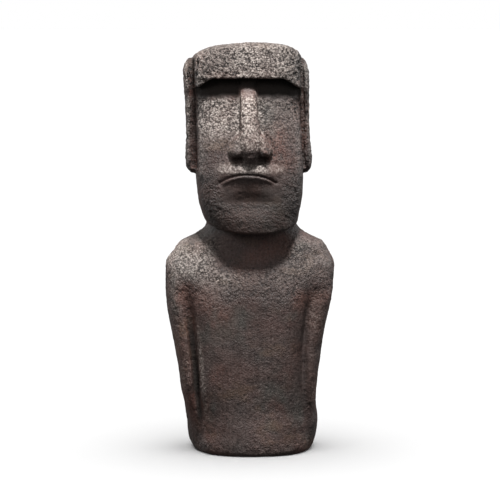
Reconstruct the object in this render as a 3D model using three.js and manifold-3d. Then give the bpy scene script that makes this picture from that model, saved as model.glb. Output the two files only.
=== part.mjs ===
// A hollow moulded moai figure: a long stylised head on a torso whose arms lie along its sides.
// Two moulded half shells, front and back, are bonded on an upright seam with strips of glass mat
// laid inside them. A base plate closes the foot, screwed up into four blocks bonded to the walls,
// and carries four rubber feet and a drain plug.
// Units are millimetres, +Z is up, the face looks along -Y, and the origin is the middle of the
// bounding box on the ground.
import * as THREE from "three";
import { mergeVertices } from "three/addons/utils/BufferGeometryUtils.js";
import Module from "manifold-3d";

const wasm = await Module();
wasm.setup();

// ---------------------------------------------------------------- driving dimensions
const HEIGHT = 590;
const WALL = 8; // thickness of the moulded shell
const SEAM_Y = 10; // the plane where the front and back shells meet
const BOND_GAP = 0.3; // glue line between bonded pieces
const RIM_Z = 1.2; // the shell's lower edge clears the ground, because the feet carry the figure

const FOOT = { height: 4, radius: 13, edge: 0.8, x: 50, frontY: -24, backY: 50 };

const PLATE_BOTTOM = FOOT.height + BOND_GAP;
const PLATE_THICKNESS = 12;
const PLATE_TOP = PLATE_BOTTOM + PLATE_THICKNESS;
const PLATE_CLEARANCE = 0.6; // all round, inside the shell

const BLOCK_BOTTOM = PLATE_TOP + BOND_GAP;
// A block's length lies along the wall, and its depth runs in from the wall.
const BLOCK = { height: 30, length: 36, depth: 20 };
// Where each block and its screw stand, and which wall the block is bonded to.
const FIXINGS = {
  front: { x: 0, y: -39, wall: [0, -1] },
  back: { x: 0, y: 63, wall: [0, 1] },
  left: { x: 66, y: 12, wall: [1, 0] },
  right: { x: -66, y: 12, wall: [-1, 0] },
};

// A countersunk wood screw: radii of shank and head, and lengths along it.
const SCREW = { shank: 2, head: 4, rim: 0.4, headDepth: 2.6, threadFrom: 14, tip: 5, length: 34 };
const THREAD = { pitch: 5, depth: 0.5 };
const CROSS_RECESS = { halfWidth: 0.5, halfLength: 2.4, depth: 1.6 };
const SCREW_CLEARANCE = 0.3;

const PLUG = { y: 12, neck: 7, flange: 11, edge: 0.8, flangeThickness: 2, length: 15, taper: 4 };
const PLUG_CLEARANCE = 0.15;

const TAPE = { thickness: 2.2, halfWidth: 16 };
const BODY_TAPE = [82, 338]; // the heights that each length of tape covers
const HEAD_TAPE = [354, 570];

const FAR = 150; // sideways past every face of the figure
const PAST = 1; // how far a cut runs past the face it goes through

// ---------------------------------------------------------------- the figure's sections
// Each row is a level section: its height, its half width, and how far it reaches to the front
// and to the back of the origin. Between rows a smooth curve runs through them.
const TORSO = [
  [0, 78, 56, 79],
  [4, 82, 59, 82],
  [14, 85, 62, 84],
  [60, 84, 64, 86],
  [140, 82, 68, 89],
  [200, 84, 67.5, 90],
  [235, 96, 64.5, 89],
  [262, 112, 58.5, 86],
  [276, 116, 54, 83],
  [290, 113, 49.5, 79],
  [300, 105, 46.5, 75],
  [310, 93, 44.5, 70],
  [318, 80, 43, 65],
  [326, 66, 42, 61],
];
const NECK = [
  [296, 66, 44, 64],
  [326, 64, 42, 61],
  [352, 64, 42, 60],
];
const HEAD = [
  [323, 54, 66, 50],
  [327, 60, 71.5, 55],
  [338, 64.5, 76, 60],
  [348, 69, 77, 63],
  [360, 72.5, 75, 66],
  [382, 75.5, 70, 69],
  [405, 77, 66, 71],
  [440, 77, 59.5, 72],
  [480, 76.5, 51, 73],
  [515, 76.5, 43, 73],
  [534, 77, 39, 72.6],
  [537, 77.4, 42, 72.5],
  [541, 78, 61, 72.3],
  [552, 79, 64, 71.6],
  [565, 79, 62, 69.5],
  [576, 75, 57, 64],
  [584, 66, 49, 56],
  [588, 55, 39, 45],
  [HEIGHT, 40, 26, 32],
];
// The foot flares a little behind the rounded front of the torso.
const FOOT_FLARE = [
  [0, 86, 30, 79],
  [5, 91, 35, 84],
  [14, 94, 38, 88],
  [40, 94.5, 37, 89.5],
  [62, 93.5, 33, 89],
  [84, 88, 24, 84],
];
const NOSE = [
  [419, 22, 66, -40],
  [427, 28, 74, -40],
  [436, 30, 81, -40],
  [444, 22, 88, -40],
  [450, 16, 90, -40],
  [458, 14.5, 87, -40],
  [480, 13, 74, -40],
  [505, 11.5, 61, -40],
  [530, 10.5, 52, -40],
  [543, 10, 48, -40],
];
const MUZZLE = [
  [379, 38, 58, -40],
  [384, 42, 71, -40],
  [391, 45, 75, -40],
  [406, 46, 75, -40],
  [416, 40, 71, -40],
  [422, 34, 66, -40],
  [426, 28, 58, -40],
];
// An arm or ear row is its height, its outer side, its half thickness, and its front and back.
const ARM = [
  [40, 88, 12, 28, 38],
  [52, 94, 16, 38, 52],
  [75, 97.2, 17, 43, 58],
  [110, 100.7, 18, 45, 62],
  [145, 105.7, 19, 46, 64],
  [180, 112.2, 21, 47, 66],
  [215, 118.6, 24, 47, 68],
  [239, 121.4, 27, 46, 68],
  [262, 122, 30, 42, 64],
  [284, 117, 28, 34, 56],
  [297, 105, 20, 22, 44],
];
const EAR = [
  [405, 83, 10, 14, 10],
  [411, 89.5, 13, 20, 15],
  [424, 91, 14, 21, 17],
  [472, 88.7, 13, 20, 19],
  [505, 89.2, 13, 23, 23],
  [532, 90.2, 14, 27, 27],
  [552, 89.5, 14, 24, 27],
  [562, 86, 12, 16, 21],
  [566, 80, 8, 8, 13],
];

// The hollow follows the outside a wall's thickness in, and is simpler at the foot and the crown.
const HOLLOW_FOOT = [
  [-5, 85, 58, 82],
  [40, 85, 58, 82],
  [56, 84, 60, 83],
];
const HOLLOW_CROWN = [
  [536, 77, 38, 72],
  [560, 77, 44, 68],
  [572, 71, 42, 60],
  [580, 56, 34, 48],
];
const between = (rows, low, high) => rows.filter(([z]) => z > low && z < high);
const lowered = (rows, change) => rows.map(([z, ...sizes]) => [z - change, ...sizes]);
const HOLLOW_TORSO = lowered(between(TORSO, 50, HEIGHT), WALL / 2);
const HOLLOW_ARMS = between(ARM, 60, 290).map(([z, outer, , front, back]) => [z, outer, front, back]);
const HOLLOW_HEAD = [...between(HEAD, 340, HOLLOW_CROWN[0][0]), ...HOLLOW_CROWN];

// The routes of the grooves on the figure's left side; the right side mirrors them.
const ARM_GROOVE = {
  radius: 3.5,
  route: [
    [88, -52, 236],
    [84, -49, 205],
    [79.5, -46, 150],
    [77.5, -44, 100],
    [77, -42, 58],
  ],
};
const EAR_GROOVE = {
  radius: 5,
  route: [
    [93, -9, 546],
    [91.5, -8, 500],
    [91, -6, 450],
    [93, -5, 428],
  ],
};
const MOUTH = { radius: 2.5, middle: { y: -76, z: 405.5 }, corner: { x: 44, y: -71, z: 393 } };

// How square each kind of section is: 2 is an ellipse.
const BODY_SQUARENESS = 3.2;
const HEAD_SQUARENESS = 3.8;
const SOFT_SQUARENESS = 2.5;

// ---------------------------------------------------------------- solids
/** A closed BufferGeometry as a manifold solid. */
function solidOf(geometry) {
  const bare = geometry.index ? geometry.toNonIndexed() : geometry.clone();
  bare.deleteAttribute("normal");
  bare.deleteAttribute("uv");
  const merged = mergeVertices(bare, 1e-4);
  const mesh = new wasm.Mesh({
    numProp: 3,
    vertProperties: merged.attributes.position.array,
    triVerts: new Uint32Array(merged.index.array),
  });
  return new wasm.Manifold(mesh);
}

/** A manifold solid as a BufferGeometry. */
function geometryOf(solid) {
  const mesh = solid.getMesh();
  const geometry = new THREE.BufferGeometry();
  geometry.setAttribute("position", new THREE.BufferAttribute(mesh.vertProperties, 3));
  geometry.setIndex(new THREE.BufferAttribute(mesh.triVerts, 1));
  const flat = geometry.toNonIndexed();
  flat.computeVertexNormals();
  return flat;
}

const join = (solids) => solids.reduce((whole, piece) => whole.add(piece));
const without = (solid, cuts) => cuts.reduce((rest, cut) => rest.subtract(cut), solid);

/** A box between two corners. */
function block(low, high) {
  const size = high.map((value, i) => value - low[i]);
  const middle = high.map((value, i) => (value + low[i]) / 2);
  return solidOf(new THREE.BoxGeometry(...size).translate(...middle));
}

/** A solid of revolution about +Z from (radius, height) points that start and end on the axis. */
function turned(points, segments = 24) {
  const profile = points.map(([radius, height]) => new THREE.Vector2(radius, height));
  return solidOf(new THREE.LatheGeometry(profile, segments).rotateX(Math.PI / 2));
}

/** A plain upright cylinder about the Z axis. */
const upright = (radius, low, high) => turned([[0, low], [radius, low], [radius, high], [0, high]]);

/** Slopes of a curve through rows that never overshoots them (Fritsch and Carlson). */
function slopesThrough(rows, column) {
  const rise = rows.slice(1).map((row, i) => (row[column] - rows[i][column]) / (row[0] - rows[i][0]));
  return rows.map((_, i) => {
    if (i === 0) return rise[0];
    if (i === rows.length - 1) return rise[i - 1];
    const product = rise[i - 1] * rise[i];
    return product <= 0 ? 0 : (2 * product) / (rise[i - 1] + rise[i]);
  });
}

/** The rows with more rows between them on a smooth curve, about a step apart. */
function refined(rows, step) {
  const slopes = rows[0].map((_, column) => slopesThrough(rows, column));
  const made = [];
  rows.slice(1).forEach((next, i) => {
    const row = rows[i];
    const span = next[0] - row[0];
    const count = Math.max(1, Math.round(span / step));
    for (let k = 0; k < count; k++) {
      const t = k / count;
      made.push(
        row.map((value, column) => {
          if (column === 0) return value + span * t;
          const from = slopes[column][i] * span;
          const to = slopes[column][i + 1] * span;
          const rest = next[column] - value;
          const bend = t * t * (3 * rest - 2 * from - to) + t ** 3 * (from + to - 2 * rest);
          return value + t * from + bend;
        }),
      );
    }
  });
  made.push(rows.at(-1));
  return made;
}

/** The outline of one level section, a rounded rectangle made by a superellipse, from above. */
function sectionOutline([, halfWidth, front, back], squareness, segments, centreX = 0) {
  const centreY = (back - front) / 2;
  const halfDepth = (back + front) / 2;
  const power = 2 / squareness;
  return Array.from({ length: segments }, (_, i) => {
    const turn = (2 * Math.PI * (i + 0.5)) / segments;
    const c = Math.cos(turn);
    const s = Math.sin(turn);
    return [
      centreX + halfWidth * Math.sign(c) * Math.abs(c) ** power,
      centreY + halfDepth * Math.sign(s) * Math.abs(s) ** power,
    ];
  });
}

/** A closed solid whose skin passes through level outlines, lowest first. */
function skinned(outlines, heights) {
  const segments = outlines[0].length;
  const positions = [];
  const corner = (ring, i) => [...outlines[ring][i % segments], heights[ring]];
  const triangle = (...points) => points.forEach((point) => positions.push(...point));
  const middle = (ring) => {
    const mean = (axis) => outlines[ring].reduce((sum, point) => sum + point[axis], 0) / segments;
    return [mean(0), mean(1), heights[ring]];
  };
  const top = outlines.length - 1;
  for (let i = 0; i < segments; i++) {
    triangle(middle(0), corner(0, i + 1), corner(0, i));
    triangle(middle(top), corner(top, i), corner(top, i + 1));
    for (let ring = 0; ring < top; ring++) {
      triangle(corner(ring, i), corner(ring, i + 1), corner(ring + 1, i + 1));
      triangle(corner(ring, i), corner(ring + 1, i + 1), corner(ring + 1, i));
    }
  }
  const geometry = new THREE.BufferGeometry();
  geometry.setAttribute("position", new THREE.Float32BufferAttribute(positions, 3));
  return solidOf(geometry);
}

/** A solid through level sections, shrunk all round by inset. */
function lofted(rows, squareness, { segments = 36, step = 26, inset = 0 } = {}) {
  const all = refined(rows, step).map(([z, halfWidth, front, back]) => [
    z,
    halfWidth - inset,
    front - inset,
    back - inset,
  ]);
  return skinned(
    all.map((row) => sectionOutline(row, squareness, segments)),
    all.map((row) => row[0]),
  );
}

/** A limb at one side of the figure: side is 1 for +X and -1 for -X. */
function sideLofted(rows, side, segments = 18) {
  const all = refined(rows, 32);
  return skinned(
    all.map(([z, outer, halfWidth, front, back]) =>
      sectionOutline([z, halfWidth, front, back], SOFT_SQUARENESS, segments, side * (outer - halfWidth)),
    ),
    all.map((row) => row[0]),
  );
}

/** A round bar along a curve, for cutting a groove. */
function barAlong(points, radius) {
  const section = new THREE.Shape().absarc(0, 0, radius, 0, 2 * Math.PI);
  const extrudePath = new THREE.CatmullRomCurve3(points.map((point) => new THREE.Vector3(...point)));
  return solidOf(new THREE.ExtrudeGeometry(section, { steps: 10, curveSegments: 4, extrudePath }));
}

// ---------------------------------------------------------------- the moulded figure
/** A groove on one side of the figure: side is 1 for +X and -1 for -X. */
function sideGroove({ radius, route }, side) {
  return barAlong(route.map(([x, y, z]) => [side * x, y, z]), radius);
}

/** The line between the lips, drawn down at its corners. */
function mouthLine() {
  const { radius, middle, corner } = MOUTH;
  const route = [-1, -0.5, 0, 0.5, 1].map((t) => [
    t * corner.x,
    middle.y + (corner.y - middle.y) * t * t,
    middle.z + (corner.z - middle.z) * t * t,
  ]);
  return barAlong(route, radius);
}

/** The outside of the figure as one solid. */
function figureSolid() {
  const forms = [
    lofted(TORSO, BODY_SQUARENESS),
    lofted(FOOT_FLARE, BODY_SQUARENESS),
    lofted(NECK, SOFT_SQUARENESS),
    lofted(HEAD, HEAD_SQUARENESS),
    lofted(NOSE, SOFT_SQUARENESS, { segments: 24 }),
    lofted(MUZZLE, SOFT_SQUARENESS, { segments: 28 }),
  ];
  const limbs = [-1, 1].flatMap((side) => [sideLofted(ARM, side), sideLofted(EAR, side)]);
  const grooves = [-1, 1].flatMap((side) => [sideGroove(ARM_GROOVE, side), sideGroove(EAR_GROOVE, side)]);
  const belowRim = block([-FAR, -FAR, -PAST], [FAR, FAR, RIM_Z]);
  return without(join([...forms, ...limbs]), [...grooves, mouthLine(), belowRim]);
}

/** The hollow inside the shells, made smaller all round by inset. */
function hollowSolid(inset = 0) {
  const options = { segments: 24, step: 60, inset: WALL + inset };
  return join([
    lofted(HOLLOW_FOOT, BODY_SQUARENESS, options),
    lofted(HOLLOW_TORSO, BODY_SQUARENESS, options),
    lofted(HOLLOW_ARMS, SOFT_SQUARENESS, options),
    lofted(NECK, SOFT_SQUARENESS, options),
    lofted(HOLLOW_HEAD, HEAD_SQUARENESS, options),
  ]);
}

const inFrontOfSeam = block([-FAR, -FAR, -PAST], [FAR, SEAM_Y - BOND_GAP / 2, HEIGHT + PAST]);
const behindSeam = block([-FAR, SEAM_Y + BOND_GAP / 2, -PAST], [FAR, FAR, HEIGHT + PAST]);

/** A strip of glass mat laid inside the shells over the seam, on one side, between two heights. */
function seamTape(side, [low, high]) {
  const layer = hollowSolid(BOND_GAP).subtract(hollowSolid(BOND_GAP + TAPE.thickness));
  const [from, to] = side > 0 ? [PAST, FAR] : [-FAR, -PAST];
  return layer.intersect(
    block([from, SEAM_Y - TAPE.halfWidth, low], [to, SEAM_Y + TAPE.halfWidth, high]),
  );
}

// ---------------------------------------------------------------- the foot
/** A block whose outer side is shaped by the shell wall it is bonded to, with its screw's hole. */
function fixingBlock({ x, y, wall }) {
  const [alongX, alongY] = wall.map((part) => (part ? BLOCK.depth : BLOCK.length) / 2);
  const reach = wall.map((part) => part * BLOCK.depth);
  const low = [x - alongX + Math.min(reach[0], 0), y - alongY + Math.min(reach[1], 0), BLOCK_BOTTOM];
  const high = [
    x + alongX + Math.max(reach[0], 0),
    y + alongY + Math.max(reach[1], 0),
    BLOCK_BOTTOM + BLOCK.height,
  ];
  const holeTop = PLATE_BOTTOM + SCREW.length + PAST;
  const hole = upright(SCREW.shank + SCREW_CLEARANCE, BLOCK_BOTTOM - PAST, holeTop);
  return block(low, high).intersect(hollowSolid(BOND_GAP)).subtract(hole.translate([x, y, 0]));
}

/** A countersunk screw with its head down and flush with the plate. */
function baseScrew({ x, y }) {
  const { shank, head, rim, headDepth, threadFrom, tip, length } = SCREW;
  const thread = [];
  for (let z = threadFrom; z < length - tip; z += THREAD.pitch) {
    thread.push([shank, z], [shank - THREAD.depth, z + THREAD.pitch / 2]);
  }
  const body = turned(
    [[0, 0], [head, 0], [head, rim], [shank, headDepth], ...thread, [shank, length - tip], [0, length]],
    12,
  );
  const { halfWidth, halfLength, depth } = CROSS_RECESS;
  const recess = [
    block([-halfLength, -halfWidth, -PAST], [halfLength, halfWidth, depth]),
    block([-halfWidth, -halfLength, -PAST], [halfWidth, halfLength, depth]),
  ];
  return without(body, recess).translate([x, y, PLATE_BOTTOM]);
}

/** The countersunk hole for a screw, from the plate's lower face up. */
function screwHole({ x, y }) {
  const { shank, head, rim, headDepth } = SCREW;
  const gap = SCREW_CLEARANCE;
  return turned([
    [0, -PAST],
    [head + gap, -PAST],
    [head + gap, rim + gap],
    [shank + gap, headDepth + gap],
    [shank + gap, PLATE_THICKNESS + PAST],
    [0, PLATE_THICKNESS + PAST],
  ]).translate([x, y, PLATE_BOTTOM]);
}

/** The board that closes the foot. */
function basePlate() {
  const slab = block([-FAR, -FAR, PLATE_BOTTOM], [FAR, FAR, PLATE_TOP]);
  const drain = upright(PLUG.neck + PLUG_CLEARANCE, PLATE_BOTTOM - PAST, PLATE_TOP + PAST);
  return without(slab.intersect(hollowSolid(PLATE_CLEARANCE)), [
    drain.translate([0, PLUG.y, 0]),
    ...Object.values(FIXINGS).map(screwHole),
  ]);
}

/** The rubber plug of the drain hole, pushed in from below. */
function drainPlug() {
  const { neck, flange, edge, flangeThickness, length, taper } = PLUG;
  return turned([
    [0, -flangeThickness],
    [flange - edge, -flangeThickness],
    [flange, edge - flangeThickness],
    [flange, 0],
    [neck, 0],
    [neck, length - taper],
    [neck - edge, length],
    [0, length],
  ]).translate([0, PLUG.y, PLATE_BOTTOM - PLUG_CLEARANCE]);
}

/** A rubber foot with a softened lower edge. */
function rubberFoot(x, y) {
  const { height, radius, edge } = FOOT;
  const profile = [[0, 0], [radius - edge, 0], [radius, edge], [radius, height], [0, height]];
  return turned(profile).translate([x, y, 0]);
}

// ---------------------------------------------------------------- assembly
const stoneware = { color: 0x4a3f3a, roughness: 0.92, metalness: 0 };
const glassMat = { color: 0xb7ad93, roughness: 0.7, metalness: 0 };
const board = { color: 0x8b6b48, roughness: 0.8, metalness: 0 };
const zinc = { color: 0xa9aaa6, roughness: 0.35, metalness: 1 };
const rubber = { color: 0x1c1c1d, roughness: 0.85, metalness: 0 };

const figure = new THREE.Group();

function addPiece(name, solid, look) {
  const mesh = new THREE.Mesh(geometryOf(solid), new THREE.MeshStandardMaterial(look));
  mesh.name = name;
  figure.add(mesh);
}

const shell = figureSolid().subtract(hollowSolid());
addPiece("front_shell", shell.intersect(inFrontOfSeam), stoneware);
addPiece("back_shell", shell.intersect(behindSeam), stoneware);
for (const [hand, side] of [["left", 1], ["right", -1]]) {
  addPiece(`${hand}_body_tape`, seamTape(side, BODY_TAPE), glassMat);
  addPiece(`${hand}_head_tape`, seamTape(side, HEAD_TAPE), glassMat);
}
addPiece("base_plate", basePlate(), board);
for (const [place, fixing] of Object.entries(FIXINGS)) {
  addPiece(`${place}_fixing_block`, fixingBlock(fixing), board);
  addPiece(`${place}_base_screw`, baseScrew(fixing), zinc);
}
for (const [end, y] of [["front", FOOT.frontY], ["back", FOOT.backY]]) {
  addPiece(`${end}_left_foot`, rubberFoot(FOOT.x, y), rubber);
  addPiece(`${end}_right_foot`, rubberFoot(-FOOT.x, y), rubber);
}
addPiece("drain_plug", drainPlug(), rubber);

export default figure;
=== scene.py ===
"""Looks for the moai figure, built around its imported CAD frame.

The two moulded shells are replaced by one sculpted casting that is cut in two at the seam: a
distance field of the figure is turned into a mesh, given the cast's pits, crumbs and strokes, then
hollowed. The rubber feet and the drain plug are replaced by finer turned pieces. The board, its
screws, the blocks and the glass mat keep their CAD shapes and are only given materials.
"""

import math

import bmesh
import bpy
import numpy as np
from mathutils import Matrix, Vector, kdtree


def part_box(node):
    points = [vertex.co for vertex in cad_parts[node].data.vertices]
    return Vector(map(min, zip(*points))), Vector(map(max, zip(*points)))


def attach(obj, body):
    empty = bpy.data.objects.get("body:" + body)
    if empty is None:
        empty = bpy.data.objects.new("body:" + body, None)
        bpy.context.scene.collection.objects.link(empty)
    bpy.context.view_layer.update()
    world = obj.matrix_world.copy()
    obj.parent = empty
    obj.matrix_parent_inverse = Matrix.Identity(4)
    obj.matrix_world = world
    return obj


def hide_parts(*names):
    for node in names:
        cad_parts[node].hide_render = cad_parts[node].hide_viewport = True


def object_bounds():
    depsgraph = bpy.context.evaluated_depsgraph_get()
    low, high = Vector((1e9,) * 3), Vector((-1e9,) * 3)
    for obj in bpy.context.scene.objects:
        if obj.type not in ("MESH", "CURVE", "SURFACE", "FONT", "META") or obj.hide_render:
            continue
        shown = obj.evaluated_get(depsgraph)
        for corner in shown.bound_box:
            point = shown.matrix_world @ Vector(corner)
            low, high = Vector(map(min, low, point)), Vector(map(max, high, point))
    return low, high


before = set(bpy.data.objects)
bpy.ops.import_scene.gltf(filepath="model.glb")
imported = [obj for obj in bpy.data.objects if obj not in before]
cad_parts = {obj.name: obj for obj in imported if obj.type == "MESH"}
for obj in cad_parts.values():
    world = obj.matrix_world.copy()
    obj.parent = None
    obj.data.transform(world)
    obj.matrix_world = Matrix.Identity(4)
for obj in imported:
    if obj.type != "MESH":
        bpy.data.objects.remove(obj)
cad_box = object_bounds()

# ---------------- sizes
# Shapes are written in millimetres for a figure this tall, and follow the frame's real height.
DRAWN_HEIGHT = 590.0
MM = cad_box[1].z / DRAWN_HEIGHT  # metres in one drawn millimetre

CELL = 1.72  # spacing of the sculpting grid
HOLLOW_EVERY = 3  # the hollow uses each third grid point
MARGIN = 9.0  # empty space round the figure in the grid
TINY = 1e-9
SEAM_GAP = 0.02  # keeps the two halves from sharing a face
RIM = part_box("front_shell")[0].z / MM
SEAM = (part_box("front_shell")[1].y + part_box("back_shell")[0].y) / 2 / MM
CAST_CREASE = 62  # degrees between two faces, above which the casting shows an edge
TURNED_CREASE = 35  # the same for the turned pieces
SEED = 41
LATTICE = 64  # points along each side of the block of random numbers behind the noise

# Level sections: height, half width, reach to the front and reach to the back.
TORSO = [
    (-4, 79, 66, 79),
    (1, 82, 69, 81.5),
    (6, 84.5, 70.5, 84),
    (16, 85.5, 71, 85),
    (36, 85.5, 69.5, 86),
    (66, 84, 66.5, 86.5),
    (140, 83, 68.5, 89),
    (172, 86.5, 68, 89.5),
    (202, 93, 67, 90),
    (235, 102, 63.5, 89),
    (262, 110, 57, 86),
    (276, 114, 52, 83),
    (290, 111, 47.5, 79),
    (301, 104.5, 44.5, 75),
    (312, 83, 41.5, 70),
    (321, 70, 39, 64),
    (332, 56, 36, 57),
]
PLINTH = [
    (-4, 78, 30, 78),
    (1, 82, 34, 80),
    (6, 87, 38, 84),
    (12, 90.8, 41, 86.5),
    (20, 93.2, 43, 88),
    (32, 94.5, 44, 89),
    (60, 93.5, 43, 89),
    (84, 90.5, 38, 85),
    (108, 82, 24, 78),
]
NECK = [(280, 66, 42, 64), (326, 64.5, 41, 61), (360, 63, 40, 60)]
HEAD = [
    (316, 56, 72.5, 50),
    (324, 62, 75.5, 55),
    (338, 66.5, 76.5, 60),
    (348, 69.5, 76, 63),
    (360, 73, 75, 66),
    (382, 75.5, 73, 69),
    (405, 77, 70.5, 71),
    (440, 77, 65.5, 72),
    (470, 76.6, 58.5, 73),
    (500, 76.5, 52, 73),
    (518, 76.5, 50, 73),
    (530, 76.6, 44.5, 73),
    (541, 76.8, 37, 72.8),
    (572, 70, 32, 66),
]
JAW_EDGE = {"level": 321.0, "rise": 15.0, "half_width": 68.0, "power": 2.6}
BROW = [
    (516, 79, 56, 40),
    (540, 79, 59.5, 72),
    (556, 79.3, 59.5, 71.5),
    (572, 78.5, 57.5, 69.5),
    (590, 76, 54.5, 66),
    (606, 72, 52, 62),
]
# The crown is a shallow arch across the head, steeper towards its ends and a little tilted.
CROWN = {
    "top": 589.2,
    "tilt": 0.025,
    "apex": 4.0,
    "bow": 9.5,
    "fall": 12.0,
    "half_width": 79.0,
    "middle": 5.0,
    "half_depth": 68.0,
    "depth_fall": 7.0,
    "round": 4.0,
}
# The brow's lower edge drops towards its ends, and is lower behind the face.
BROW_EDGE = {"level": 540.5, "drop": 15.5, "from": 46.0, "to": 80.0, "behind": 30.0}

# A limb's section: height, outer side, half thickness, reach to the front and to the back.
ARM = [
    (-4, 80, 14, 14, 44),
    (16, 88, 15, 24, 48),
    (40, 92.5, 16, 31, 52),
    (62, 94.8, 16.5, 35, 55),
    (80, 97.6, 17.5, 39, 58),
    (110, 100.7, 18, 44, 62),
    (145, 105.7, 19, 45, 64),
    (180, 112.2, 21, 46, 66),
    (215, 118.6, 24, 46, 68),
    (239, 121.0, 27, 44, 68),
    (262, 119.0, 30, 39, 64),
    (280, 113, 28, 30, 56),
    (292, 103.5, 22, 20, 44),
    (304, 87, 12, 8, 24),
]
# The groove between each arm and the torso: points down it (written for +X), and its radius.
# The key is the side: -1 for -X and 1 for +X.
ARM_GROOVES = {
    -1: (
        [
            (91, -56, 246),
            (90, -50.5, 226),
            (87, -46.5, 205),
            (82, -43, 170),
            (78, -39.5, 125),
            (76, -39, 85),
            (76, -42, 62),
            (77, -50, 42),
            (79, -60, 30),
        ],
        5.2,
    ),
    1: (
        [
            (88, -56, 250),
            (86, -51.5, 228),
            (83, -48.5, 205),
            (80, -46, 170),
            (79, -43.5, 125),
            (78.5, -45.5, 98),
            (79, -54, 80),
        ],
        2.6,
    ),
}
EAR = [
    (404, 84, 9, 12, 8),
    (412, 89.3, 11, 19, 14),
    (426, 91, 12, 21, 17),
    (450, 89.6, 11, 20, 18),
    (472, 88.9, 11, 20, 19),
    (505, 89.4, 11, 23, 23),
    (532, 90.2, 12, 27, 27),
    (550, 89.8, 12, 25, 27),
    (560, 87, 11, 18, 22),
    (568, 82, 8, 8, 13),
]
# The slot in front of each ear and the hollow down its outer side, written for +X.
EAR_SLOT = [(79, -36, 566), (79, -34, 530), (78.2, -32, 450), (79, -32, 412)]
EAR_SLOT_DEPTH = 17.0
EAR_SLOT_HALF_WIDTHS = {-1: 5.0, 1: 2.6}
EAR_HOLLOW = [(91.5, -4, 540), (90.6, -3, 500), (90.4, -2, 445), (91.6, -2, 432)]
EAR_HOLLOW_RADIUS = 4.2
NOSE = [
    (415, 5, 70, -30),
    (420, 8.5, 76, -30),
    (427, 12.5, 82, -30),
    (434, 15.4, 85, -30),
    (441, 16.6, 86.2, -30),
    (450, 16.4, 86.0, -30),
    (460, 15.2, 84, -30),
    (480, 13.8, 77, -30),
    (505, 12.4, 66.5, -30),
    (526, 11.2, 53.5, -30),
    (545, 11.0, 42, -30),
]
# The crease round each nostril's wing, written for +X.
WING_CREASE = [
    (15.5, -61, 468),
    (21, -61.5, 462),
    (27, -62, 456),
    (31.5, -63, 448.5),
    (33.5, -64.5, 440),
    (33, -66.5, 431),
]
# The mouth's arc: height and reach to the front at its middle and at its corners.
MOUTH = {
    "middle": (405.5, 76.0),
    "corner": (393.5, 69.0),
    "half_width": 40.0,
    "aside": -5.0,
    "power": 2.2,
    "points": 13,
}
# Ellipsoids of the face: middle and radii. Those of the nose are written for +X.
NOSTRIL_WINGS = [
    ((13.5, -62.0, 449.0), (11.5, 16.0, 13.0)),
    ((18.0, -62.5, 437.5), (13.5, 17.0, 12.5)),
]
NOSTRIL = ((17.0, -72.0, 426.5), (8.5, 8.0, 5.0))
LIPS = ((-2.5, -50.5, 407.5), (50.0, 26.5, 20.5))
UNDER_LIP = ((-3.0, -97.0, 365.5), (47.0, 28.5, 25.5))

# How far the hand-finished casting bends to one side: height and shift along X.
BEND_BODY = [
    (0, 4.2),
    (40, 4.0),
    (62, 1.0),
    (90, -1.6),
    (150, -3.0),
    (205, -2.6),
    (262, 0),
    (280, 0.8),
    (292, 2.2),
    (302, 3.0),
    (324, 3.4),
    (345, 0.5),
    (360, 0),
]
BEND_HEAD = [
    (330, 0),
    (380, -0.6),
    (410, -1.8),
    (470, -3.6),
    (505, -4.0),
    (550, -6.0),
    (590, -6.0),
]

# How square the level sections are: 2 is an ellipse, and more is closer to a rectangle.
SQUARE_BODY = 3.2
SQUARE_BASE = 2.35
SQUARE_HEAD = 3.8
SQUARE_CHIN = 2.9
SQUARE_NECK = 2.5
SQUARE_LIMB = 2.6
SQUARE_NOSE = 3.6
SQUARE_NOSE_TIP = 2.3

# The hollow inside the shells follows the CAD's own rows, a wall's thickness in.
WALL = 8.0
HOLLOW_FOOT = [(-4, 85, 58, 82), (40, 85, 58, 82), (56, 84, 60, 83)]
HOLLOW_TORSO = [
    (56, 84, 64, 86),
    (136, 82, 68, 89),
    (196, 84, 67.5, 90),
    (231, 96, 64.5, 89),
    (258, 112, 58.5, 86),
    (272, 116, 54, 83),
    (286, 113, 49.5, 79),
    (296, 105, 46.5, 75),
    (306, 93, 44.5, 70),
    (322, 66, 42, 61),
]
HOLLOW_ARM = [
    (75, 97.2, 43, 58),
    (110, 100.7, 45, 62),
    (145, 105.7, 46, 64),
    (180, 112.2, 47, 66),
    (215, 118.6, 47, 68),
    (239, 121.4, 46, 68),
    (262, 122, 42, 64),
    (284, 117, 34, 56),
]
HOLLOW_NECK = [(296, 66, 44, 64), (326, 64, 42, 61), (352, 64, 42, 60)]
HOLLOW_HEAD = [
    (348, 69, 77, 63),
    (360, 72.5, 75, 66),
    (382, 75.5, 70, 69),
    (405, 77, 66, 71),
    (440, 77, 59.5, 72),
    (480, 76.5, 51, 73),
    (515, 76.5, 43, 73),
    (534, 77, 39, 72.6),
    (560, 77, 44, 68),
    (572, 71, 42, 60),
    (580, 56, 34, 48),
]

# A foot's underside: share of its radius, and depth of the tread there.
FOOT_TREAD = [
    (0.0, 0.9),
    (0.34, 0.9),
    (0.40, 0.2),
    (0.44, 0.0),
    (0.66, 0.0),
    (0.70, 0.5),
    (0.76, 0.5),
    (0.80, 0.0),
]
PLUG = {"flange": 2.0, "dish": 1.0, "neck_radius": 7.0, "ribs": (4.0, 8.0)}

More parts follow.
